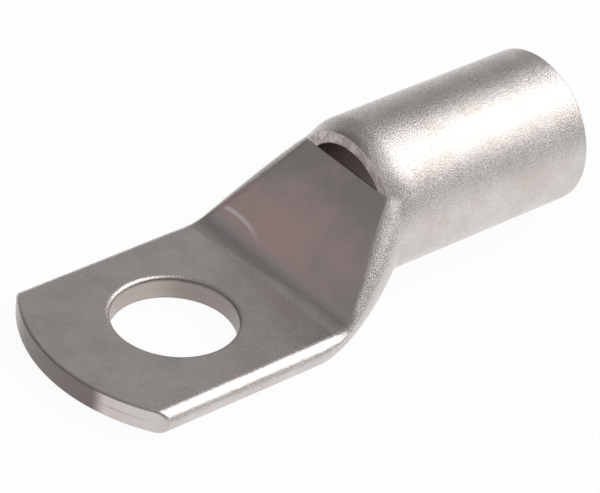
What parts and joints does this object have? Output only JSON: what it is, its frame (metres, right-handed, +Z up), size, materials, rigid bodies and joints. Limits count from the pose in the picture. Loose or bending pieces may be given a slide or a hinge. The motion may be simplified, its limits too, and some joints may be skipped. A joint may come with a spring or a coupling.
{
  "type": "copper tube cable lug",
  "caption": "Tinned copper ring lug: a round crimp barrel that narrows through a sloping neck with an inspection window to a flat palm with a bolt hole.",
  "frame": {"origin": "middle of the bolt hole, on the contact face of the palm", "axes": "+X along the lug towards the mouth of the barrel, +Y across the palm, +Z up out of the contact face"},
  "size_m": [0.0405, 0.0158, 0.011],
  "materials": {
    "tinned_copper": "satin tin plate on copper, lightly speckled"
  },
  "bodies": {
    "root": {"cable_lug": "tinned_copper"}
  },
  "joints": []
}
